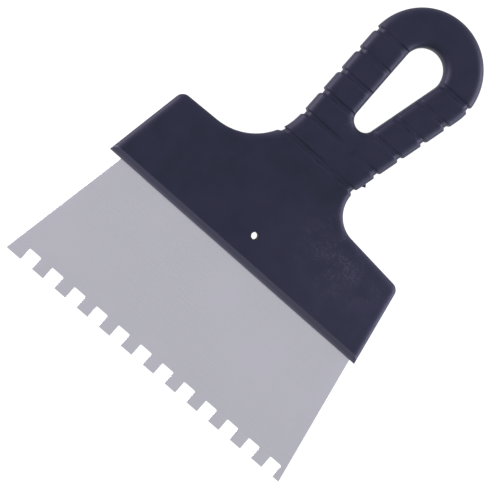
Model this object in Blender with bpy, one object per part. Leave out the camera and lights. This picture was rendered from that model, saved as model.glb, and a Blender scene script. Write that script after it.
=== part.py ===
"""Notched trowel: a toothed steel blade whose tang is moulded into a one-piece plastic handle.

The blade lies flat. X runs along the toothed edge, Y from the teeth to the loop of the handle, and
+Z is square to the blade. The origin is under the middle of the whole trowel, on the handle's back.
Outlines are laid out from the middle of the toothed edge and moved to the origin at the end.
"""

import math

import bmesh
import bpy
import numpy as np
from mathutils import Vector

# Blade
BLADE_WIDTH = 0.1990
BLADE_THICKNESS = 0.0008
BLADE_TAPER = math.radians(10.9)  # lean of each side towards the handle
TANG_END = 0.1060  # the hidden tang reaches this far from the toothed edge
NOTCH_COUNT = 12
NOTCH_PITCH = 0.0160
NOTCH_WIDTH = 0.0080
NOTCH_DEPTH = 0.0078
FIRST_NOTCH = 0.0102  # from the left corner, so the end teeth differ
NOTCH_CORNER = 0.0006
KEY_HOLES = (-0.062, -0.030, 0.026, 0.058)  # the plastic flows through these
KEY_HOLE_RADIUS = 0.0045
KEY_HOLE_ROW = 0.0940

# Handle, seen square to the blade
HEAD_EDGE = 0.0772  # where the blade comes out of the head
HEAD_LOWER_LEFT = Vector((-0.0927, HEAD_EDGE))
HEAD_LOWER_RIGHT = Vector((0.0880, HEAD_EDGE))
HEAD_UPPER_LEFT = Vector((-0.0837, 0.1273))  # this corner and those below before they are rounded
HEAD_UPPER_RIGHT = Vector((0.0788, 0.1251))
HEAD_CORNER_RADIUS = 0.0052
LEFT_NECK = Vector((-0.0268, 0.1296))
LEFT_NECK_RADIUS = 0.0342
RIGHT_NECK = Vector((0.0193, 0.1302))
RIGHT_NECK_RADIUS = 0.0181
LOOP_CENTRE = Vector((0.0081, 0.2250))
LOOP_RADIUS = 0.0349
GRIP_FLARE = math.radians(14.7)  # lean of the right side; the left side is square to the teeth
SLOT_TOP = Vector((0.0083, 0.2255))
SLOT_TOP_RADIUS = 0.0122
SLOT_FOOT = Vector((0.0029, 0.1828))
SLOT_FOOT_RADIUS = 0.0067
PIN_HOLE = Vector((-0.0017, 0.0939))  # left by the pin that holds the blade in the mould
PIN_HOLE_RADIUS = 0.0021
TANG_PIN_HOLE_RADIUS = 0.0026

# Handle, across its thickness
HEAD_HALF = 0.0040
GRIP_HALF = 0.0065
RAMP = (0.1260, 0.1560)  # the head swells to the grip between these
HEAD_ROUND = 0.0044  # how far in over the face the edge rounding reaches
GRIP_ROUND = 0.0050
ROUND_RISE = 0.0026  # how far down the head's side wall it reaches; more where the handle is thicker
LIP_CHAMFER = 0.0039
ROUND_STEPS = 3

# Finger grooves across the grip
GROOVE_COUNT = 6
FIRST_GROOVE = 0.1483
GROOVE_PITCH = 0.0154
GROOVE_MOUTH = 0.0046
GROOVE_FLOOR = 0.0020
GROOVE_SIDE_DEPTH = 0.0014
GROOVE_FACE_DEPTH = 0.0005

TANG_GAP = 0.0003  # all round the tang and its key holes

# Degrees between the points of each arc
LOOP_STEP = 9
LEFT_NECK_STEP = 9
RIGHT_NECK_STEP = 11
HEAD_CORNER_STEP = 25
SLOT_TOP_STEP = 16
SLOT_FOOT_STEP = 20
NOTCH_CORNER_STEP = 45
HOLE_STEP = 15

RAMP_STATIONS = 7
SHARP_ANGLE = math.radians(40)
STEEL_COLOR = (0.47, 0.465, 0.50)
PLASTIC_COLOR = (0.032, 0.034, 0.062)

TOTAL_LENGTH = LOOP_CENTRE.y + LOOP_RADIUS
TO_ORIGIN = Vector((0.0, -TOTAL_LENGTH / 2, GRIP_HALF))


def arc(centre, radius, start, end, step):
    """Points on an arc from start to end, in degrees, about step degrees apart."""
    count = max(1, math.ceil(abs(end - start) / step))
    angles = (math.radians(start + (end - start) * i / count) for i in range(count + 1))
    return [centre + radius * Vector((math.cos(a), math.sin(a))) for a in angles]


def rounded(before, corner, after, radius, step):
    """An arc that rounds the corner between two straight lines."""
    to_before = (before - corner).normalized()
    to_after = (after - corner).normalized()
    half_angle = to_before.angle(to_after) / 2
    bisector = (to_before + to_after).normalized()
    centre = corner + bisector * radius / math.sin(half_angle)
    reach = radius / math.tan(half_angle)
    first = corner + to_before * reach - centre
    last = corner + to_after * reach - centre
    start = math.degrees(math.atan2(first.y, first.x))
    turn = math.degrees(math.atan2(first.cross(last), first.dot(last)))
    return arc(centre, radius, start, start + turn, step)


def handle_outline():
    """The handle's outer edge, counter-clockwise from the head's lower left corner."""
    loop = arc(LOOP_CENTRE, LOOP_RADIUS, -math.degrees(GRIP_FLARE), 180, LOOP_STEP)
    points = [HEAD_LOWER_LEFT, HEAD_LOWER_RIGHT]
    corner = HEAD_CORNER_RADIUS, HEAD_CORNER_STEP
    points += rounded(HEAD_LOWER_RIGHT, HEAD_UPPER_RIGHT, RIGHT_NECK, *corner)
    points += rounded(HEAD_UPPER_RIGHT, RIGHT_NECK, loop[0], RIGHT_NECK_RADIUS, RIGHT_NECK_STEP)
    points += loop
    points += rounded(loop[-1], LEFT_NECK, HEAD_UPPER_LEFT, LEFT_NECK_RADIUS, LEFT_NECK_STEP)
    points += rounded(LEFT_NECK, HEAD_UPPER_LEFT, HEAD_LOWER_LEFT, *corner)
    return points


def slot_outline():
    """The hanging slot, clockwise: a small and a large circle joined by their tangents."""
    across = SLOT_TOP - SLOT_FOOT
    heading = math.degrees(math.atan2(across.y, across.x))
    spread = 90 + math.degrees(math.asin((SLOT_TOP_RADIUS - SLOT_FOOT_RADIUS) / across.length))
    start, end = heading + spread, heading - spread
    top = arc(SLOT_TOP, SLOT_TOP_RADIUS, start, end, SLOT_TOP_STEP)
    foot = arc(SLOT_FOOT, SLOT_FOOT_RADIUS, end, start - 360, SLOT_FOOT_STEP)
    return top + foot


def blade_outline():
    """The blade's edge, counter-clockwise: notches along the bottom, then round the tang."""
    half = BLADE_WIDTH / 2
    tang_half = half - TANG_END * math.tan(BLADE_TAPER)
    corner = NOTCH_CORNER, NOTCH_CORNER_STEP
    points = [Vector((-half, 0))]
    for i in range(NOTCH_COUNT):
        left = FIRST_NOTCH - half + i * NOTCH_PITCH
        right = left + NOTCH_WIDTH
        left_top = Vector((left, NOTCH_DEPTH))
        right_top = Vector((right, NOTCH_DEPTH))
        points.append(Vector((left, 0)))
        points += rounded(points[-1], left_top, right_top, *corner)
        points += rounded(left_top, right_top, Vector((right, 0)), *corner)
        points.append(Vector((right, 0)))
    points += [Vector((half, 0)), Vector((tang_half, TANG_END)), Vector((-tang_half, TANG_END))]
    return points


def circle(centre, radius):
    """A clockwise circle, for a hole."""
    return arc(centre, radius, 360, 0, HOLE_STEP)[:-1]


def inset(points, distances):
    """Move each edge of a closed outline to its left by that edge's distance."""
    moved = []
    for i, point in enumerate(points):
        lefts = []
        for tail, head in ((points[i - 1], point), (point, points[(i + 1) % len(points)])):
            along = (head - tail).normalized()
            lefts.append(Vector((-along.y, along.x)))
        first, second = distances[i - 1], distances[i]
        turn = lefts[0].cross(lefts[1])
        if abs(turn) < 1e-4:
            moved.append(point + (lefts[0] + lefts[1]).normalized() * (first + second) / 2)
            continue
        x = (first * lefts[1].y - second * lefts[0].y) / turn
        y = (second * lefts[0].x - first * lefts[1].x) / turn
        moved.append(point + Vector((x, y)))
    return moved


def grown(points, distance):
    """An outline with every edge moved to its right."""
    return inset(points, [-distance] * len(points))


def without_repeats(points):
    """Drop points that fall on the one before them."""
    return [p for i, p in enumerate(points) if (p - points[i - 1]).length > 1e-6]


def fill_between(mesh, loops):
    """Fill the flat area between closed loops of vertices; return its faces."""
    edges = []
    for loop in loops:
        for i, vertex in enumerate(loop):
            pair = (loop[i - 1], vertex)
            edges.append(mesh.edges.get(pair) or mesh.edges.new(pair))
    made = bmesh.ops.triangle_fill(mesh, edges=edges, use_beauty=True, use_dissolve=False)
    return [f for f in made["geom"] if isinstance(f, bmesh.types.BMFace)]


def stacked(outlines, heights):
    """A closed solid from rings: outlines[k] holds the loops of the layer at heights[k]."""
    mesh = bmesh.new()
    layers = []
    for loops, height in zip(outlines, heights):
        layers.append([[mesh.verts.new((p.x, p.y, height)) for p in loop] for loop in loops])
    for lower, upper in zip(layers, layers[1:]):
        for low, high in zip(lower, upper):
            for i in range(len(low)):
                mesh.faces.new((low[i - 1], low[i], high[i], high[i - 1]))
    fill_between(mesh, layers[0])
    fill_between(mesh, layers[-1])
    bmesh.ops.recalc_face_normals(mesh, faces=mesh.faces)
    return mesh


def flat_solid(loops, half_thickness):
    """A plate centred on Z = 0."""
    return stacked([loops, loops], [-half_thickness, half_thickness])


def ramp(y):
    """0 on the head, 1 on the grip, with a smooth rise between."""
    start, end = RAMP
    t = min(max((y - start) / (end - start), 0.0), 1.0)
    return t * t * (3 - 2 * t)


def groove_centres():
    return [FIRST_GROOVE + i * GROOVE_PITCH for i in range(GROOVE_COUNT)]


def groove(y):
    """1 on the floor of a finger groove, 0 between grooves."""
    away = min(abs(y - centre) for centre in groove_centres())
    slope = (GROOVE_MOUTH - GROOVE_FLOOR) / 2
    return min(max((GROOVE_MOUTH / 2 - away) / slope, 0.0), 1.0)


def edge_rounding(y):
    return HEAD_ROUND + (GRIP_ROUND - HEAD_ROUND) * ramp(y)


def ring(points, turned, chamfered_edge=None):
    """An outline drawn in by its edge rounding, turned radians from the side wall to the face."""
    distances = []
    for i, point in enumerate(points):
        following = points[(i + 1) % len(points)]
        if i == chamfered_edge:
            distances.append(LIP_CHAMFER * math.sin(turned))
        else:
            radius = edge_rounding((point.y + following.y) / 2)
            distances.append(radius * (1 - math.cos(turned)))
    return inset(points, distances)


def side_x(outline, y):
    """The least and greatest x of an outline at a height y."""
    crossings = []
    for tail, head in zip(outline, outline[1:] + outline[:1]):
        if (tail.y - y) * (head.y - y) <= 0 and tail.y != head.y:
            crossings.append(tail.x + (head.x - tail.x) * (y - tail.y) / (head.y - tail.y))
    return min(crossings), max(crossings)


def shape_thickness(mesh, outline):
    """Swell the flat slab from head to grip and press in the finger grooves."""
    stations = list(np.linspace(*RAMP, RAMP_STATIONS))
    for centre in groove_centres():
        for half in (GROOVE_MOUTH / 2, GROOVE_FLOOR / 2):
            stations += [centre - half, centre + half]
    for y in stations:
        whole = mesh.verts[:] + mesh.edges[:] + mesh.faces[:]
        bmesh.ops.bisect_plane(mesh, geom=whole, dist=1e-7, plane_co=(0, y, 0), plane_no=(0, 1, 0))
    for vertex in mesh.verts:
        depth = groove(vertex.co.y)
        if depth > 0:
            left, right = side_x(outline, vertex.co.y)
            for side, inward in ((left, 1), (right, -1)):
                near = max(0.0, 1 - abs(vertex.co.x - side) / GRIP_ROUND)
                vertex.co.x += inward * near * depth * GROOVE_SIDE_DEPTH
        half = HEAD_HALF + (GRIP_HALF - HEAD_HALF) * ramp(vertex.co.y)
        vertex.co.z *= (half - depth * GROOVE_FACE_DEPTH) / HEAD_HALF


def handle_mesh():
    outline = without_repeats(handle_outline())
    slot = without_repeats(slot_outline())
    turns = [math.pi / 2 * k / ROUND_STEPS for k in range(ROUND_STEPS + 1)]
    upper = [(t, HEAD_HALF - ROUND_RISE * (1 - math.sin(t))) for t in turns]
    lower = [(t, -z) for t, z in reversed(upper)]
    layers = lower + upper
    outlines = [[ring(outline, t, chamfered_edge=0), ring(slot, t)] for t, _ in layers]
    mesh = stacked(outlines, [z for _, z in layers])
    shape_thickness(mesh, outline)
    return mesh


def material(name, color, roughness, metallic):
    made = bpy.data.materials.new(name)
    made.use_nodes = True
    shader = made.node_tree.nodes["Principled BSDF"]
    shader.inputs["Base Color"].default_value = (*color, 1)
    shader.inputs["Roughness"].default_value = roughness
    shader.inputs["Metallic"].default_value = metallic
    return made


def add_object(name, mesh, finish=None):
    """Link a mesh as an object whose place is the trowel's origin."""
    data = bpy.data.meshes.new(name)
    mesh.to_mesh(data)
    mesh.free()
    made = bpy.data.objects.new(name, data)
    made.location = TO_ORIGIN
    bpy.context.scene.collection.objects.link(made)
    if finish:
        data.materials.append(finish)
    return made


def cut(target, name, mesh):
    """Cut a hidden solid out of the target."""
    cutter = add_object(name, mesh)
    cutter.hide_render = True
    cutter.display_type = "WIRE"
    modifier = target.modifiers.new(name, "BOOLEAN")
    modifier.operation = "DIFFERENCE"
    modifier.solver = "EXACT"
    modifier.object = cutter


def add_blade():
    holes = [circle(Vector((x, KEY_HOLE_ROW)), KEY_HOLE_RADIUS) for x in KEY_HOLES]
    holes.append(circle(PIN_HOLE, TANG_PIN_HOLE_RADIUS))
    mesh = flat_solid([blade_outline(), *holes], BLADE_THICKNESS / 2)
    return add_object("blade", mesh, material("blade_steel", STEEL_COLOR, 0.38, 1.0))


def tang_pocket():
    """The space that the tang fills in the head, with plastic left standing in its key holes."""
    half = BLADE_WIDTH / 2
    foot = HEAD_EDGE - LIP_CHAMFER
    lean = math.tan(BLADE_TAPER)
    left, right = half - foot * lean, half - TANG_END * lean
    sides = [
        Vector((-left, foot)),
        Vector((left, foot)),
        Vector((right, TANG_END)),
        Vector((-right, TANG_END)),
    ]
    pegs = [circle(Vector((x, KEY_HOLE_ROW)), KEY_HOLE_RADIUS - TANG_GAP) for x in KEY_HOLES]
    return flat_solid([grown(sides, TANG_GAP), *pegs], BLADE_THICKNESS / 2 + TANG_GAP)


def add_handle():
    plastic = material("handle_plastic", PLASTIC_COLOR, 0.5, 0.0)
    handle = add_object("handle", handle_mesh(), plastic)
    cut(handle, "tang_pocket_cutter", tang_pocket())
    pin = circle(PIN_HOLE, PIN_HOLE_RADIUS)
    cut(handle, "pin_hole_cutter", flat_solid([pin], 2 * HEAD_HALF))
    handle.data.shade_smooth()
    handle.data.set_sharp_from_angle(angle=SHARP_ANGLE)
    return handle


def main():
    for old in list(bpy.data.objects):
        bpy.data.objects.remove(old)
    add_blade()
    add_handle()


main()
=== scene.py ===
"""Notched trowel: the detailed model and its looks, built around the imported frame.

The trowel lies flat on its grip. X runs along the toothed edge, Y from the teeth to the loop of the
handle, and +Z is square to the blade. Outlines are laid out in metres from the middle of the toothed
edge, with Z = 0 halfway through the blade, and moved onto the frame at the end.
"""

import math

import bmesh
import bpy
import numpy as np
from mathutils import Euler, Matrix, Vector


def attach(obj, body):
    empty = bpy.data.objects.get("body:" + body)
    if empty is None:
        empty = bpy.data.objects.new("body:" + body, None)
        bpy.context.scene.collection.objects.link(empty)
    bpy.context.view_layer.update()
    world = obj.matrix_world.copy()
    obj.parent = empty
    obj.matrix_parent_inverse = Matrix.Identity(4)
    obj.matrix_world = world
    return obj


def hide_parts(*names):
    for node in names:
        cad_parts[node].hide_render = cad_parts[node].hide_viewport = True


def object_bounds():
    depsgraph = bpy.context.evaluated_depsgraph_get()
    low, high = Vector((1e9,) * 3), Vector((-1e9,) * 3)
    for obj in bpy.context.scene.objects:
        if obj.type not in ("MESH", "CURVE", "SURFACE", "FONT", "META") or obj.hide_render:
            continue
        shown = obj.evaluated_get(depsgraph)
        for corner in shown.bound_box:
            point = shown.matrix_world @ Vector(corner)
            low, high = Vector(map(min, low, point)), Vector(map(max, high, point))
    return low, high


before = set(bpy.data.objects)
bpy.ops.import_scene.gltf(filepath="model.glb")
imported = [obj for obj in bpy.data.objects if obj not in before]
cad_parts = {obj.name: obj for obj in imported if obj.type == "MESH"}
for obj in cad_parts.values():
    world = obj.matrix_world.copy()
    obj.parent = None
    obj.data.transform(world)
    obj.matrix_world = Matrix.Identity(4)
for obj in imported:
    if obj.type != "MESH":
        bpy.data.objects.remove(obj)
cad_low, cad_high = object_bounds()

# Blade
BLADE_WIDTH = 0.1990
BLADE_THICKNESS = 0.0008
BLADE_TAPER = math.radians(10.9)  # lean of each side towards the handle
BLADE_EDGE_ROUND = 0.00010
TANG_END = 0.1060  # the hidden tang reaches this far from the toothed edge
NOTCH_COUNT = 12
NOTCH_PITCH = 0.0160
NOTCH_WIDTH = 0.0080
NOTCH_DEPTH = 0.0078
FIRST_NOTCH = 0.0102  # from the left corner, so the end teeth differ
NOTCH_CORNER = 0.0006
KEY_HOLES = (-0.062, -0.030, 0.026, 0.058)  # the plastic flows through these
KEY_HOLE_RADIUS = 0.0045
KEY_HOLE_ROW = 0.0940

# Handle, seen square to the blade
HEAD_EDGE = 0.0772  # where the blade comes out of the head
HEAD_LOWER_LEFT = Vector((-0.0927, HEAD_EDGE))
HEAD_LOWER_RIGHT = Vector((0.0880, HEAD_EDGE))
HEAD_UPPER_LEFT = Vector((-0.0837, 0.1273))  # this corner and those below before they are rounded
HEAD_UPPER_RIGHT = Vector((0.0788, 0.1251))
HEAD_CORNER_RADIUS = 0.0052
LEFT_NECK = Vector((-0.0268, 0.1296))
LEFT_NECK_RADIUS = 0.0342
RIGHT_NECK = Vector((0.0193, 0.1302))
RIGHT_NECK_RADIUS = 0.0181
LOOP_CENTRE = Vector((0.0081, 0.2250))
LOOP_RADIUS = 0.03488  # a hair under the frame's, whose arc is faceted
GRIP_FLARE = math.radians(14.7)  # lean of the right side; the left side is square to the teeth
SLOT_TOP = Vector((0.0083, 0.2255))
SLOT_TOP_RADIUS = 0.0122
SLOT_FOOT = Vector((0.0029, 0.1828))
SLOT_FOOT_RADIUS = 0.0067
PIN_HOLE = Vector((-0.0017, 0.0939))  # left by the pin that holds the blade in the mould
PIN_HOLE_RADIUS = 0.0021
PIN_HOLE_FLARE = 0.00015
TANG_PIN_HOLE_RADIUS = 0.0026

# Handle, across its thickness
HEAD_HALF = 0.0040
GRIP_HALF = 0.0065
RAMP = (0.1260, 0.1560)  # the head swells to the grip between these
HEAD_ROUND = 0.0044  # how far in over the face the edge rounding reaches
GRIP_ROUND = 0.0050
ROUND_RISE = 0.0026  # how far down the head's side wall it reaches
ROUND_FLATNESS = 1.9  # 2 is a round edge and 1 a plain chamfer
LIP_CHAMFER = 0.0039
SEAM_RISE = 0.00009  # how far the moulding's seam stands proud of the side
SEAM_HALF = 0.00016
FLASH = Vector((0.0262, 0.1558))  # a scrap of plastic left standing on the seam
FLASH_REACH = 0.0018
CROWN_DEPTH = 0.00012  # the grip's face falls by this much at its edges
CROWN_REACH = 0.009
TANG_GAP = 0.00004  # all round the tang and its key holes

# Finger grooves across the grip
GROOVE_COUNT = 6
FIRST_GROOVE = 0.1483
GROOVE_PITCH = 0.0154
GROOVE_MOUTH = 0.0046
GROOVE_SIDE_DEPTH = 0.0014
GROOVE_SIDE_FLAT = 0.0002  # the side is pressed in whole up to here
GROOVE_SIDE_REACH = GRIP_ROUND + 0.0008  # and tails off over this
GROOVE_STEEP = 0.0008  # width of the slope towards the loop
GROOVE_GENTLE = 0.0017  # and of the slope towards the teeth
GROOVE_FACE_DEPTH = 0.00075
GROOVE_FACE_REACH = 0.006  # how far in from an edge the depth falls away to its share
GROOVE_LEFT_SHARE = (0.70, 0.70, 0.75, 0.55, 0.20, 0.20)  # of the depth, up the left arm
GROOVE_RIGHT_SHARE = (0.30, 0.15, 0.25, 0.10, 0.10, 0.55)

# Shallow panel between the two rows of pads, below the slot
PANEL = (-0.0050, 0.0098)
PANEL_TOP = 0.1760
PANEL_DEPTH = 0.00035
PANEL_EDGE = 0.0012

# Fineness of the mesh, with arc steps in degrees
ARC_STEP = 2.5
HEAD_CORNER_STEP = 8
SLOT_TOP_STEP = 5
SLOT_FOOT_STEP = 8
NOTCH_CORNER_STEP = 12
HOLE_STEP = 6
PIN_HOLE_STEP = 10
PEG_STEP = 15
OUTLINE_SPACING = 0.0016
GRID = 0.0022
ROUND_STEPS = 10
RAMP_STATIONS = 12
GROOVE_STATIONS = 6
BLADE_SHARP_ANGLE = math.radians(20)
HANDLE_SHARP_ANGLE = math.radians(28)
TOLERANCE = 0.0001
NEARLY_STRAIGHT = 0.02  # the sine of the turn below which a corner counts as straight
OVERSHOOT = 0.0002  # how far a cutter stands out of the face it cuts

# Worn proud edges with a painted highlight, and painted shade in hollows
WEAR_AND_HIGHLIGHT_RADIUS = 0.0004  # an edge as tight as this is wholly worn and takes the whole painted highlight
WEAR_AND_HIGHLIGHT_SPREAD = 1  # vertices that the worn edge and its painted highlight spread across
SHADE_RADIUS = 0.0006
SHADE_SPREAD = 2

# Steel, with the fineness of its noises in features a metre, along each axis where there are three
STEEL_DARK = (0.731, 0.725, 0.785, 1)
STEEL_LIGHT = (0.747, 0.741, 0.802, 1)
# worn sheared edges, with a painted highlight
STEEL_WORN_EDGE_AND_HIGHLIGHT = (0.82, 0.82, 0.86, 1)
STEEL_WORN_EDGE_AND_HIGHLIGHT_SHARE = 0.6
ROLLED_GRAIN = (60, 5200, 400)
ROLLED_STREAKS = (9, 900, 50)
SMEARS = 28
ROLLED_BUMP = 0.000004

# Plastic; its patches lie on the face, in the frame's own axes, and its noises are as for steel
PLASTIC_DARK = (0.0096, 0.0124, 0.0275, 1)
PLASTIC_LIGHT = (0.0142, 0.0150, 0.0350, 1)
PLASTIC_RUBBED = (0.060, 0.058, 0.100, 1)
# painted shade for the hollows and round the pin hole
PLASTIC_PAINTED_SHADE = (0.0015, 0.0014, 0.0045, 1)
# Painted highlight on the lip's chamfer, and a stronger one at its very edge
PLASTIC_LIP_HIGHLIGHT = (0.051, 0.054, 0.079, 1)
PLASTIC_LIP_EDGE_HIGHLIGHT = (0.084, 0.089, 0.117, 1)
LIP_HIGHLIGHT_FADE = 0.0018  # height up the lip in which its painted highlight fades out
PLASTIC_SHEEN = 0.28
# sheen left in the painted shade of the hollows
SHADED_SHEEN = 0.10
PIN_SHADE_REACH = 0.0034  # reach of the painted shade from the middle of the pin hole
SCUFF_CENTRE = (0.045, -0.012, 0.0105)
SCUFF_SIZE = (0.036, 0.030, 0.02)
DUST_CENTRE = (0.068, -0.022, 0.0105)
DUST_SIZE = (0.075, 0.055, 0.04)
CLOUDS = 14
MOTTLE = 90
PATCHES = 120
WEAR_AND_HIGHLIGHT_BREAKS = 420
CURLS = 560
CURL_TWIST = 1.4
MOULDED_GRAIN = 2600
SCRATCHES = (45, 1500, 200)
SCRATCH_TURN = 38  # degrees
CROSSED_SCRATCHES = (38, 1300, 200)
CROSSED_TURN = -64
WEAR_AND_HIGHLIGHT_SHARE = 0.7  # how much of the colour each mark takes over at its strongest
SHADE_SHARE = 0.6
SCUFF_SHARE = 0.42
SCRATCH_SHARE = 0.2
GRAIN_BUMP = 0.00003
MOTTLE_BUMP = 0.0004
SCUFF_BUMP = 0.0003

# Studio
PAPER_DARK = (0.16, 0.16, 0.162, 1)
PAPER_LIGHT = (0.18, 0.18, 0.182, 1)
PAPER_GLOW = 1.0
FLOOR_HALF = 4.0
FLOOR_GAP = 0.0002
DOME_COLOR = (0.97, 0.97, 1.0)
DOME_STRENGTH = 0.60
LEFT_SOFTBOX = {"place": (-1.0, -0.12, 0.28), "size": (1.0, 0.50), "power": 17, "color": (0.91, 0.80, 1)}
RIGHT_SOFTBOX = {"place": (0.90, 0.45, 0.20), "size": (1.2, 0.32), "power": 17, "color": (0.78, 0.75, 1)}
CAMERA_PLACE = (-0.0954, -0.08155, 0.8294)
CAMERA_TURN = (-2.253, -6.568, 41.466)  # degrees
CAMERA_LENS = 110.66
CAMERA_SENSOR = 36

to_frame = Vector((0.0, cad_low.y, (cad_low.z + cad_high.z) / 2))


def arc(centre, radius, start, end, step=ARC_STEP):
    """Points on an arc from start to end, in degrees, about step degrees apart."""
    count = max(1, math.ceil(abs(end - start) / step))
    angles = (math.radians(start + (end - start) * i / count) for i in range(count + 1))
    return [centre + radius * Vector((math.cos(a), math.sin(a))) for a in angles]


def rounded(before, corner, after, radius, step=ARC_STEP):
    """An arc that rounds the corner between two straight lines."""
    to_before = (before - corner).normalized()
    to_after = (after - corner).normalized()
    half_angle = to_before.angle(to_after) / 2
    centre = corner + (to_before + to_after).normalized() * radius / math.sin(half_angle)
    reach = radius / math.tan(half_angle)
    first = corner + to_before * reach - centre
    last = corner + to_after * reach - centre
    start = math.degrees(math.atan2(first.y, first.x))
    turn = math.degrees(math.atan2(first.cross(last), first.dot(last)))
    return arc(centre, radius, start, start + turn, step)


def resampled(points, spacing, keep_first=False):
    """Add points so that no edge is longer than spacing; keep_first leaves the first edge whole."""
    finer = []
    for i, point in enumerate(points):
        following = points[(i + 1) % len(points)]
        count = max(1, math.ceil((following - point).length / spacing))
        if keep_first and i == 0:
            count = 1
        finer += [point.lerp(following, k / count) for k in range(count)]
    return [p for i, p in enumerate(finer) if (p - finer[i - 1]).length > 1e-6]


def handle_outline():
    """The handle's outer edge, counter-clockwise from the head's lower left corner."""
    loop = arc(LOOP_CENTRE, LOOP_RADIUS, -math.degrees(GRIP_FLARE), 180)
    corner = HEAD_CORNER_RADIUS, HEAD_CORNER_STEP
    points = [HEAD_LOWER_LEFT, HEAD_LOWER_RIGHT]
    points += rounded(HEAD_LOWER_RIGHT, HEAD_UPPER_RIGHT, RIGHT_NECK, *corner)
    points += rounded(HEAD_UPPER_RIGHT, RIGHT_NECK, loop[0], RIGHT_NECK_RADIUS)
    points += loop
    points += rounded(loop[-1], LEFT_NECK, HEAD_UPPER_LEFT, LEFT_NECK_RADIUS)
    points += rounded(LEFT_NECK, HEAD_UPPER_LEFT, HEAD_LOWER_LEFT, *corner)
    points = resampled(points, OUTLINE_SPACING, keep_first=True)
    # Just above the lower corners, points would be overtaken as the corner draws in.
    return [p for p in points if not HEAD_EDGE + TOLERANCE < p.y < HEAD_EDGE + 2 * LIP_CHAMFER]


def slot_outline():
    """The hanging slot, clockwise: a small and a large circle joined by their tangents."""
    across = SLOT_TOP - SLOT_FOOT
    heading = math.degrees(math.atan2(across.y, across.x))
    spread = 90 + math.degrees(math.asin((SLOT_TOP_RADIUS - SLOT_FOOT_RADIUS) / across.length))
    start, end = heading + spread, heading - spread
    top = arc(SLOT_TOP, SLOT_TOP_RADIUS, start, end, SLOT_TOP_STEP)
    foot = arc(SLOT_FOOT, SLOT_FOOT_RADIUS, end, start - 360, SLOT_FOOT_STEP)
    return resampled(top + foot, OUTLINE_SPACING)


def blade_outline():
    """The blade's edge, counter-clockwise: notches along the bottom, then round the tang."""
    half = BLADE_WIDTH / 2
    tang_half = half - TANG_END * math.tan(BLADE_TAPER)
    corner = NOTCH_CORNER, NOTCH_CORNER_STEP
    points = [Vector((-half, 0))]
    for i in range(NOTCH_COUNT):
        left = FIRST_NOTCH - half + i * NOTCH_PITCH
        right = left + NOTCH_WIDTH
        left_top = Vector((left, NOTCH_DEPTH))
        right_top = Vector((right, NOTCH_DEPTH))
        points.append(Vector((left, 0)))
        points += rounded(points[-1], left_top, right_top, *corner)
        points += rounded(left_top, right_top, Vector((right, 0)), *corner)
        points.append(Vector((right, 0)))
    points += [Vector((half, 0)), Vector((tang_half, TANG_END)), Vector((-tang_half, TANG_END))]
    return points


def circle(centre, radius, step=HOLE_STEP):
    """A clockwise circle, for a hole."""
    return arc(centre, radius, 360, 0, step)[:-1]


def inset(points, distances):
    """Move each edge of a closed outline to its left by that edge's distance."""
    moved = []
    for i, point in enumerate(points):
        lefts = []
        for tail, head in ((points[i - 1], point), (point, points[(i + 1) % len(points)])):
            along = (head - tail).normalized()
            lefts.append(Vector((-along.y, along.x)))
        first, second = distances[i - 1], distances[i]
        turn = lefts[0].cross(lefts[1])
        if abs(turn) < NEARLY_STRAIGHT:
            moved.append(point + (lefts[0] + lefts[1]).normalized() * (first + second) / 2)
            continue
        x = (first * lefts[1].y - second * lefts[0].y) / turn
        y = (second * lefts[0].x - first * lefts[1].x) / turn
        moved.append(point + Vector((x, y)))
    return moved


def even_inset(points, distance):
    return inset(points, [distance] * len(points))


def fill_between(mesh, loops):
    """Fill the flat area between closed loops of vertices; return its faces."""
    edges = []
    for loop in loops:
        for i, vertex in enumerate(loop):
            pair = (loop[i - 1], vertex)
            edges.append(mesh.edges.get(pair) or mesh.edges.new(pair))
    made = bmesh.ops.triangle_fill(mesh, edges=edges, use_beauty=True, use_dissolve=False)
    return [f for f in made["geom"] if isinstance(f, bmesh.types.BMFace)]


def stacked(outlines, heights):
    """A closed solid from rings: outlines[k] holds the loops of the layer at heights[k].

    The flat faces at its two ends are marked in the face layer "cap"."""
    mesh = bmesh.new()
    cap = mesh.faces.layers.int.new("cap")
    layers = []
    for loops, height in zip(outlines, heights):
        layers.append([[mesh.verts.new((p.x, p.y, height)) for p in loop] for loop in loops])
    for lower, upper in zip(layers, layers[1:]):
        for low, high in zip(lower, upper):
            for i in range(len(low)):
                mesh.faces.new((low[i - 1], low[i], high[i], high[i - 1]))
    for layer in (layers[0], layers[-1]):
        for face in fill_between(mesh, layer):
            face[cap] = 1
    bmesh.ops.recalc_face_normals(mesh, faces=mesh.faces)
    return mesh


def slice_mesh(mesh, axis, places, chosen=lambda face: True):
    """Cut the chosen faces along planes square to an axis, 0 for X and 1 for Y."""
    normal = Vector((0, 0, 0))
    normal[axis] = 1
    for place in places:
        faces = [f for f in mesh.faces if chosen(f)]
        edges = {e for f in faces for e in f.edges}
        verts = {v for f in faces for v in f.verts}
        whole = list(verts) + list(edges) + faces
        bmesh.ops.bisect_plane(mesh, geom=whole, dist=1e-7, plane_co=normal * place, plane_no=normal)


def smooth_step(t):
    t = np.clip(t, 0.0, 1.0)
    return t * t * (3 - 2 * t)


def ramp(y):
    """0 on the head, 1 on the grip."""
    return smooth_step((y - RAMP[0]) / (RAMP[1] - RAMP[0]))


def groove_centres():
    return [FIRST_GROOVE + i * GROOVE_PITCH for i in range(GROOVE_COUNT)]


def groove(y):
    """1 on the floor of a finger groove, 0 between grooves. The side towards the loop is steeper."""
    depth = np.zeros_like(y)
    for centre in groove_centres():
        rise = (y - centre + GROOVE_MOUTH / 2) / GROOVE_GENTLE
        fall = (centre + GROOVE_MOUTH / 2 - y) / GROOVE_STEEP
        depth = np.maximum(depth, smooth_step(np.minimum(rise, fall)))
    return depth


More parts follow.
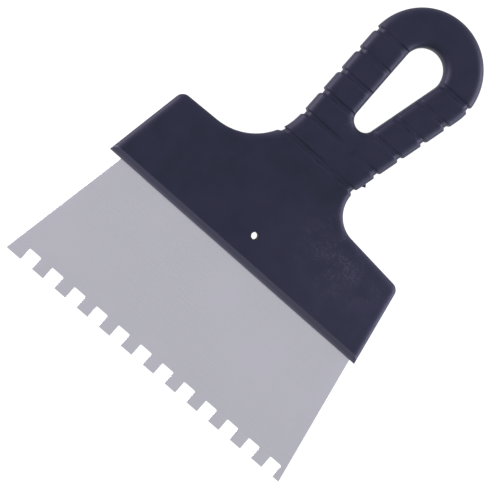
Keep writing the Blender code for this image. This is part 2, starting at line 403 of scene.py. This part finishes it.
def groove_middle(x, y):
    """How much of its depth a groove keeps halfway across the left or the right arm."""
    nearest = np.clip(np.rint((y - FIRST_GROOVE) / GROOVE_PITCH), 0, GROOVE_COUNT - 1).astype(int)
    to_right = smooth_step((x - PANEL[0]) / (PANEL[1] - PANEL[0]))
    left, right = np.array(GROOVE_LEFT_SHARE)[nearest], np.array(GROOVE_RIGHT_SHARE)[nearest]
    return left + (right - left) * to_right


def groove_stations():
    """Where the mesh is cut across, so that each groove keeps its shape."""
    stations = []
    for centre in groove_centres():
        low, high = centre - GROOVE_MOUTH / 2, centre + GROOVE_MOUTH / 2
        stations += list(np.linspace(low, low + GROOVE_GENTLE, GROOVE_STATIONS))
        stations += list(np.linspace(high - GROOVE_STEEP, high, GROOVE_STATIONS))
        stations.append((low + GROOVE_GENTLE + high - GROOVE_STEEP) / 2)
    return stations


def rounding(turned):
    """How far in and how far up an edge has come, 0 to 1: an arc drawn flat towards a chamfer."""
    power = 2 / ROUND_FLATNESS
    return 1 - max(math.cos(turned), 0.0) ** power, math.sin(turned) ** power


def edge_rounding(y):
    return HEAD_ROUND + (GRIP_ROUND - HEAD_ROUND) * float(ramp(y))


def ring(points, turned, extra, chamfered_edge=None):
    """An outline drawn in by its edge rounding, turned radians from the side wall to the face.

    It comes in by extra besides. One edge may take the lip's chamfer in place of the rounding."""
    inward, rise = rounding(turned)
    distances = []
    for i, point in enumerate(points):
        following = points[(i + 1) % len(points)]
        if i == chamfered_edge:
            distances.append(LIP_CHAMFER * rise + extra)
        else:
            distances.append(edge_rounding((point.y + following.y) / 2) * inward + extra)
    return inset(points, distances)


def add_flash(points):
    """Pull one point of the seam's outline out into a scrap of flash."""
    place = min(range(len(points)), key=lambda i: (points[i] - FLASH).length)
    along = (points[place + 1] - points[place - 1]).normalized()
    points[place] += FLASH_REACH * Vector((along.y, -along.x))


def distance_to(outline, places):
    """Each place's distance to a closed outline."""
    tails = np.array([tuple(p) for p in outline])
    along = np.roll(tails, -1, axis=0) - tails
    nearest = np.full(len(places), np.inf)
    for tail, edge in zip(tails, along):
        t = np.clip(((places - tail) @ edge) / (edge @ edge), 0, 1)
        gaps = places - tail - t[:, None] * edge
        nearest = np.minimum(nearest, np.hypot(gaps[:, 0], gaps[:, 1]))
    return nearest


def side_x(outline, y):
    """The least and greatest x of an outline at a height y."""
    crossings = []
    for tail, head in zip(outline, outline[1:] + outline[:1]):
        if (tail.y - y) * (head.y - y) <= 0 and tail.y != head.y:
            crossings.append(tail.x + (head.x - tail.x) * (y - tail.y) / (head.y - tail.y))
    return min(crossings), max(crossings)


def panel(x, y):
    """1 in the shallow panel between the two rows of pads, below the slot."""
    left, right = PANEL
    inside = np.minimum(x - left, right - x) / PANEL_EDGE
    below = (PANEL_TOP - y) / PANEL_EDGE
    above = (y - FIRST_GROOVE) / PANEL_EDGE
    return smooth_step(inside) * smooth_step(below) * smooth_step(above)


def shape_thickness(mesh, outline, slot):
    """Swell the flat slab from head to grip, and press in the finger grooves and the panel."""
    mesh.verts.ensure_lookup_table()
    spots = np.array([v.co for v in mesh.verts])
    x, y, z = spots.T
    edge_gap = np.minimum(distance_to(outline, spots[:, :2]), distance_to(slot, spots[:, :2]))
    depth = groove(y)
    near_edge = np.exp(-np.square(edge_gap / GROOVE_FACE_REACH))
    middle = groove_middle(x, y)
    face_depth = depth * GROOVE_FACE_DEPTH * (middle + (1 - middle) * near_edge)
    face_depth = np.maximum(face_depth, PANEL_DEPTH * panel(x, y))
    crown = CROWN_DEPTH * np.square(np.clip(1 - edge_gap / CROWN_REACH, 0, 1)) * ramp(y)
    half = HEAD_HALF + (GRIP_HALF - HEAD_HALF) * ramp(y)
    z = z * (half - face_depth - crown) / HEAD_HALF
    for i in np.flatnonzero(depth > 0):
        left, right = side_x(outline, y[i])
        for side, inward in ((left, 1), (right, -1)):
            near = smooth_step(1 - (abs(x[i] - side) - GROOVE_SIDE_FLAT) / GROOVE_SIDE_REACH)
            x[i] += inward * near * depth[i] * GROOVE_SIDE_DEPTH
    for vertex, place in zip(mesh.verts, zip(x, y, z)):
        vertex.co = place


def handle_layers():
    """Each layer's turn, height and extra inset: the seam stands proud halfway up the side."""
    turns = [math.pi / 2 * k / ROUND_STEPS for k in range(ROUND_STEPS + 1)]
    layers = [(0.0, 0.0, 0.0), (0.0, SEAM_HALF, SEAM_RISE)]
    layers += [(t, HEAD_HALF - ROUND_RISE * (1 - rounding(t)[1]), SEAM_RISE) for t in turns]
    return [(t, -z, extra) for t, z, extra in layers[:0:-1]] + layers


def handle_mesh():
    """The whole handle but for its pocket and pin hole, cut finely enough to take its grooves."""
    outline = handle_outline()
    slot = slot_outline()
    layers = handle_layers()
    outlines = [[ring(outline, t, e, chamfered_edge=0), ring(slot, t, e)] for t, _, e in layers]
    add_flash(outlines[len(layers) // 2][0])
    mesh = stacked(outlines, [z for _, z, _ in layers])
    stations = list(np.linspace(*RAMP, RAMP_STATIONS)) + groove_stations()
    slice_mesh(mesh, 1, stations)
    cap = mesh.faces.layers.int["cap"]
    lip = HEAD_EDGE + LIP_CHAMFER + SEAM_RISE
    columns = np.arange(cad_low.x, cad_high.x, GRID)
    slice_mesh(mesh, 0, columns, lambda f: f[cap] or f.calc_center_bounds().y < lip)
    rows = np.arange(HEAD_EDGE, LOOP_CENTRE.y + LOOP_RADIUS, GRID)
    rows = [y for y in rows if abs(np.array(stations) - y).min() > GRID / 3]
    slice_mesh(mesh, 1, rows, lambda f: f[cap])
    shape_thickness(mesh, outline, slot)
    return mesh


def add_object(name, mesh, finish=None):
    """Link a mesh as an object set into the frame."""
    for vertex in mesh.verts:
        vertex.co += to_frame
    data = bpy.data.meshes.new(name)
    mesh.to_mesh(data)
    mesh.free()
    made = bpy.data.objects.new(name, data)
    bpy.context.scene.collection.objects.link(made)
    if finish:
        data.materials.append(finish)
    return made


def cut(target, cutters):
    """Cut solids out of the target for good, and drop them."""
    for cutter in cutters:
        modifier = target.modifiers.new("cut", "BOOLEAN")
        modifier.operation = "DIFFERENCE"
        modifier.solver = "MANIFOLD"
        modifier.object = cutter
    graph = bpy.context.evaluated_depsgraph_get()
    shaped = bpy.data.meshes.new_from_object(target.evaluated_get(graph))
    target.modifiers.clear()
    old, target.data = target.data, shaped
    bpy.data.meshes.remove(old)
    for cutter in cutters:
        bpy.data.objects.remove(cutter)


def finish_surface(made, sharp_angle):
    """Shade a piece, and store how proud each vertex is, 0 to 1, for worn edges with a painted highlight,
    and how sunken, for painted shade.
    """
    data = made.data
    data.shade_smooth()
    data.set_sharp_from_angle(angle=sharp_angle)
    places = np.empty(len(data.vertices) * 3)
    normals = np.empty(len(data.vertices) * 3)
    ends = np.empty(len(data.edges) * 2, int)
    data.vertices.foreach_get("co", places)
    data.vertices.foreach_get("normal", normals)
    data.edges.foreach_get("vertices", ends)
    places, normals = places.reshape(-1, 3), normals.reshape(-1, 3)
    ends = ends.reshape(-1, 2)
    ends = np.vstack([ends, ends[:, ::-1]])
    near, far = ends.T
    away = places[near] - places[far]
    bend = (normals[near] * away).sum(1) / np.maximum((away * away).sum(1), 1e-12)
    shares = np.bincount(near, minlength=len(places))
    bend = np.bincount(near, bend, minlength=len(places)) / np.maximum(shares, 1)
    kinds = ("wear_and_highlight", WEAR_AND_HIGHLIGHT_RADIUS, WEAR_AND_HIGHLIGHT_SPREAD), ("painted_shade", -SHADE_RADIUS, SHADE_SPREAD)
    for name, radius, spread in kinds:
        amount = np.clip(bend * radius, 0, 1)
        for _ in range(spread):
            around = np.bincount(near, amount[far], minlength=len(places)) / shares
            amount = np.maximum(amount, around)
        stored = data.attributes.new(name, "FLOAT", "POINT")
        stored.data.foreach_set("value", amount.astype(np.float32))


def blade_piece():
    holes = [circle(Vector((x, KEY_HOLE_ROW)), KEY_HOLE_RADIUS) for x in KEY_HOLES]
    holes.append(circle(PIN_HOLE, TANG_PIN_HOLE_RADIUS))
    loops = [blade_outline(), *holes]
    half = BLADE_THICKNESS / 2
    layers = [(BLADE_EDGE_ROUND * (1 - math.cos(a)), half - BLADE_EDGE_ROUND * (1 - math.sin(a)))
              for a in (0, math.pi / 6, math.pi / 3, math.pi / 2)]
    layers = [(d, -z) for d, z in reversed(layers)] + layers
    outlines = [[even_inset(loop, distance) for loop in loops] for distance, _ in layers]
    mesh = stacked(outlines, [z for _, z in layers])
    blade = add_object("blade_sheet", mesh, steel())
    finish_surface(blade, BLADE_SHARP_ANGLE)
    return blade


def tang_pocket():
    """The space that the tang fills in the head, with plastic left standing in its key holes."""
    half = BLADE_WIDTH / 2
    foot = HEAD_EDGE - LIP_CHAMFER
    lean = math.tan(BLADE_TAPER)
    left, right = half - foot * lean, half - TANG_END * lean
    sides = [
        Vector((-left, foot)),
        Vector((left, foot)),
        Vector((right, TANG_END)),
        Vector((-right, TANG_END)),
    ]
    peg_radius = KEY_HOLE_RADIUS - TANG_GAP
    pegs = [circle(Vector((x, KEY_HOLE_ROW)), peg_radius, PEG_STEP) for x in KEY_HOLES]
    loops = [even_inset(sides, -TANG_GAP), *pegs]
    half = BLADE_THICKNESS / 2 + TANG_GAP
    return stacked([loops, loops], [-half, half])


def pin_hole():
    """A pin-sized hole that flares a little at each face of the head."""
    profile = [(PIN_HOLE_FLARE, HEAD_HALF + OVERSHOOT), (PIN_HOLE_FLARE, HEAD_HALF)]
    profile += [(PIN_HOLE_FLARE / 4, HEAD_HALF - PIN_HOLE_FLARE / 3), (0, HEAD_HALF - PIN_HOLE_FLARE)]
    profile = [(flare, -z) for flare, z in profile] + profile[::-1]
    outlines = [[circle(PIN_HOLE, PIN_HOLE_RADIUS + flare, PIN_HOLE_STEP)] for flare, _ in profile]
    return stacked(outlines, [z for _, z in profile])


def handle_piece():
    handle = add_object("handle_moulding", handle_mesh(), plastic())
    cut(handle, [add_object("pocket", tang_pocket()), add_object("pin", pin_hole())])
    finish_surface(handle, HANDLE_SHARP_ANGLE)
    return handle


class Surface:
    """A material, with short calls for the nodes that feed its shader."""

    def __init__(self, name, **constants):
        self.material = bpy.data.materials.new(name)
        self.material.use_nodes = True
        self.tree = self.material.node_tree
        self.shader = self.tree.nodes["Principled BSDF"]
        for socket, value in constants.items():
            self.shader.inputs[socket.replace("_", " ")].default_value = value
        self.place = self.tree.nodes.new("ShaderNodeTexCoord").outputs["Object"]

    def node(self, kind, links=(), **settings):
        """A node with its settings made, and its named or numbered inputs linked or set."""
        made = self.tree.nodes.new(kind)
        for name, value in settings.items():
            setattr(made, name, value)
        for socket, value in dict(links).items():
            if isinstance(value, bpy.types.NodeSocket):
                self.tree.links.new(value, made.inputs[socket])
            else:
                made.inputs[socket].default_value = value
        return made

    def stretched(self, scale, turn=0.0):
        """Object coordinates, turned about Z by some degrees and scaled."""
        rotation = (0, 0, math.radians(turn))
        turned = self.node("ShaderNodeMapping", {"Vector": self.place, "Rotation": rotation})
        return self.node("ShaderNodeMapping", {"Vector": turned.outputs[0], "Scale": scale}).outputs[0]

    def noise(self, scale, detail=2.0, vector=None, distortion=0.0):
        """Noise with about scale features a metre."""
        made = self.node("ShaderNodeTexNoise", {
            "Vector": vector or self.place, "Scale": scale, "Detail": detail, "Distortion": distortion})
        return made.outputs["Fac"]

    def levels(self, value, low, high, to_low=0.0, to_high=1.0):
        """The value, spread from low..high to to_low..to_high and kept within them."""
        made = self.node("ShaderNodeMapRange", {0: value, 1: low, 2: high, 3: to_low, 4: to_high})
        return made.outputs["Result"]

    def combine(self, operation, first, *others):
        """The values added, multiplied or whatever the operation says, one after another."""
        for other in others:
            first = self.node("ShaderNodeMath", {0: first, 1: other}, operation=operation).outputs[0]
        return first

    def blend(self, amount, first, second):
        """The first colour where the amount is 0, the second where it is 1."""
        made = self.node("ShaderNodeMix", {0: amount, 6: first, 7: second}, data_type="RGBA")
        return made.outputs[2]

    def stored(self, name):
        """An attribute that finish_surface left on the mesh."""
        return self.node("ShaderNodeAttribute", attribute_name=name).outputs["Fac"]

    def patch(self, centre, size):
        """1 about a place, falling to 0 at its size away."""
        moved = self.node("ShaderNodeVectorMath", {0: self.place, 1: centre}, operation="SUBTRACT")
        across = self.node("ShaderNodeVectorMath", {0: moved.outputs[0], 1: size}, operation="DIVIDE")
        length = self.node("ShaderNodeVectorMath", {0: across.outputs[0]}, operation="LENGTH")
        return self.levels(length.outputs["Value"], 1.0, 0.25)

    def below(self, height, fade):
        """1 up to a height along Y, falling to 0 by its fade past it."""
        along = self.node("ShaderNodeSeparateXYZ", {0: self.place}).outputs["Y"]
        return self.levels(along, height, height + fade, 1.0, 0.0)

    def bump(self, height, distance, strength, after=None):
        """A normal tilted by a height, on top of the one after which it comes."""
        links = {"Height": height, "Distance": distance, "Strength": strength}
        if after:
            links["Normal"] = after
        return self.node("ShaderNodeBump", links).outputs["Normal"]

    def feed(self, **inputs):
        """Link values to the shader's inputs, and return the finished material."""
        for socket, value in inputs.items():
            self.tree.links.new(value, self.shader.inputs[socket.replace("_", " ")])
        return self.material


def steel():
    """Stainless strip: a rolled grain along X, faint smears, and brighter sheared edges, partly worn and
    partly a painted highlight.
    """
    s = Surface("blade_steel", Metallic=1.0)
    grain = s.noise(1.0, 3.0, s.stretched(ROLLED_GRAIN))
    streaks = s.noise(1.0, 2.0, s.stretched(ROLLED_STREAKS))
    smears = s.noise(SMEARS, 3.0)
    tone = s.levels(s.combine("ADD", streaks, smears), 0.7, 1.3)
    color = s.blend(tone, STEEL_DARK, STEEL_LIGHT)
    # Sheared edges: worn bright and given a painted highlight.
    wear_and_highlight = s.levels(s.stored("wear_and_highlight"), 0.2, 0.9)
    color = s.blend(s.combine("MULTIPLY", wear_and_highlight, STEEL_WORN_EDGE_AND_HIGHLIGHT_SHARE), color, STEEL_WORN_EDGE_AND_HIGHLIGHT)
    rough = s.levels(grain, 0.3, 0.7, 0.25, 0.31)
    rough = s.combine("ADD", rough, s.levels(smears, 0.35, 0.7, 0.0, 0.035))
    normal = s.bump(grain, ROLLED_BUMP, 0.4)
    return s.feed(Base_Color=color, Roughness=rough, Normal=normal)


def scuffs(s, mottle):
    """Curls of scuffing, in one patch of the face."""
    curls = s.levels(s.noise(CURLS, 3.0, distortion=CURL_TWIST), 0.50, 0.68)
    broken = s.levels(mottle, 0.42, 0.56)
    return s.combine("MULTIPLY", s.patch(SCUFF_CENTRE, SCUFF_SIZE), curls, broken)


def scratches(s, cloud):
    """Fine straight scratches in two directions, thicker in some places than in others."""
    leaning = s.noise(1.0, 2.0, s.stretched(SCRATCHES, SCRATCH_TURN))
    crossed = s.noise(1.0, 2.0, s.stretched(CROSSED_SCRATCHES, CROSSED_TURN))
    lines = s.combine("MAXIMUM", s.levels(leaning, 0.70, 0.76), s.levels(crossed, 0.72, 0.78))
    return s.combine("MULTIPLY", lines, s.levels(cloud, 0.4, 0.6, 0.1, 0.7))


def rubbing_and_highlight(s, patchy):
    """Broken, rubbed edges along the proud arrises, partly a painted highlight."""
    edges = s.levels(s.stored("wear_and_highlight"), 0.10, 1.0)
    broken = s.levels(s.noise(WEAR_AND_HIGHLIGHT_BREAKS), 0.38, 0.62)
    return s.combine("MULTIPLY", edges, broken, s.levels(patchy, 0.40, 0.62))


def painted_hollow_shade(s, patchy):
    """Painted shade in the hollows and round the pin hole."""
    hollows = s.levels(s.stored("painted_shade"), 0.03, 0.5)
    hollows = s.combine("MULTIPLY", hollows, s.levels(patchy, 0.30, 0.65, 0.3, 1.0))
    hole = (*(PIN_HOLE + to_frame.xy), to_frame.z)
    return s.combine("MAXIMUM", hollows, s.patch(hole, (PIN_SHADE_REACH, PIN_SHADE_REACH, HEAD_HALF * 4)))


def plastic():
    """Matt dark moulding: a fine grain, mottled tone, a painted highlight on the lip, rubbed arrises
    partly painted as a highlight, painted shade in the hollows, and scuffs.
    """
    s = Surface("handle_plastic")
    mottle = s.noise(MOTTLE, 4.0)
    cloud = s.noise(CLOUDS)
    patchy = s.noise(PATCHES)
    scuffed = scuffs(s, mottle)
    painted_shade = painted_hollow_shade(s, patchy)

    tone = s.levels(s.combine("ADD", mottle, cloud), 0.75, 1.25)
    color = s.blend(tone, PLASTIC_DARK, PLASTIC_LIGHT)
    dust = s.levels(mottle, 0.3, 0.7, 0.13, 0.18)
    color = s.blend(s.combine("MULTIPLY", s.patch(DUST_CENTRE, DUST_SIZE), dust), color, PLASTIC_RUBBED)
    # Painted highlight on the lip's chamfer, palest at its edge.
    lip = s.below(HEAD_EDGE + LIP_CHAMFER + to_frame.y, TOLERANCE)
    lip = s.combine("MULTIPLY", lip, s.levels(cloud, 0.3, 0.7, 0.75, 1.0))
    color = s.blend(lip, color, PLASTIC_LIP_HIGHLIGHT)
    color = s.blend(s.below(HEAD_EDGE + to_frame.y, LIP_HIGHLIGHT_FADE), color, PLASTIC_LIP_EDGE_HIGHLIGHT)
    # Painted shade in the hollows and round the pin hole.
    color = s.blend(s.combine("MULTIPLY", painted_shade, SHADE_SHARE), color, PLASTIC_PAINTED_SHADE)
    # Worn arrises, partly a painted highlight.
    color = s.blend(s.combine("MULTIPLY", rubbing_and_highlight(s, patchy), WEAR_AND_HIGHLIGHT_SHARE), color, PLASTIC_RUBBED)
    lines = s.combine("MULTIPLY", scratches(s, cloud), SCRATCH_SHARE)
    marks = s.combine("MAXIMUM", s.combine("MULTIPLY", scuffed, SCUFF_SHARE), lines)
    color = s.blend(marks, color, PLASTIC_RUBBED)

    rough = s.levels(mottle, 0.3, 0.7, 0.46, 0.56)
    rough = s.combine("ADD", rough, s.combine("MULTIPLY", marks, 0.12))
    # Less sheen where the shade is painted.
    sheen = s.levels(painted_shade, 0.0, 1.0, PLASTIC_SHEEN, SHADED_SHEEN)
    normal = s.bump(s.noise(MOULDED_GRAIN), GRAIN_BUMP, 0.35)
    normal = s.bump(mottle, MOTTLE_BUMP, 0.10, normal)
    normal = s.bump(scuffed, SCUFF_BUMP, 0.5, normal)
    return s.feed(Base_Color=color, Roughness=rough, Specular_IOR_Level=sheen, Normal=normal)


def floor_paper():
    """White paper that glows, so that it stays white close round the trowel."""
    s = Surface("floor_paper", Roughness=0.9, Specular_IOR_Level=0.2,
                Emission_Strength=PAPER_GLOW, Emission_Color=(1, 1, 1, 1))
    tone = s.levels(s.noise(6, 3.0), 0.3, 0.7)
    return s.feed(Base_Color=s.blend(tone, PAPER_DARK, PAPER_LIGHT))


def add_floor():
    mesh = bmesh.new()
    bmesh.ops.create_grid(mesh, x_segments=4, y_segments=4, size=FLOOR_HALF)
    data = bpy.data.meshes.new("floor")
    mesh.to_mesh(data)
    mesh.free()
    floor = bpy.data.objects.new("floor", data)
    floor.location.z = cad_low.z - FLOOR_GAP
    bpy.context.scene.collection.objects.link(floor)
    data.materials.append(floor_paper())


def add_softbox(name, place, size, power, color):
    """A soft light aimed at the middle of the trowel."""
    light = bpy.data.lights.new(name, "AREA")
    light.shape = "RECTANGLE"
    light.size, light.size_y = size
    light.energy = power
    light.color = color
    made = bpy.data.objects.new(name, light)
    made.location = place
    made.rotation_euler = (-Vector(place)).to_track_quat("-Z", "Y").to_euler()
    bpy.context.scene.collection.objects.link(made)


def add_camera():
    data = bpy.data.cameras.new("camera")
    data.lens = CAMERA_LENS
    data.sensor_width = CAMERA_SENSOR
    camera = bpy.data.objects.new("camera", data)
    camera.location = CAMERA_PLACE
    camera.rotation_euler = Euler([math.radians(a) for a in CAMERA_TURN])
    bpy.context.scene.collection.objects.link(camera)
    bpy.context.scene.camera = camera


def add_studio():
    """White paper under soft light: a dim dome, and a softbox low on each side of the view."""
    scene = bpy.context.scene
    scene.view_settings.view_transform = "Standard"
    world = bpy.data.worlds.new("studio")
    world.use_nodes = True
    background = world.node_tree.nodes["Background"]
    background.inputs["Color"].default_value = (*DOME_COLOR, 1)
    background.inputs["Strength"].default_value = DOME_STRENGTH
    scene.world = world
    add_softbox("left_softbox", **LEFT_SOFTBOX)
    add_softbox("right_softbox", **RIGHT_SOFTBOX)
    add_floor()


add_camera()
add_studio()

blade = blade_piece()
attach(blade, "root")
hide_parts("blade")

handle = handle_piece()
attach(handle, "root")
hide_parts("handle")
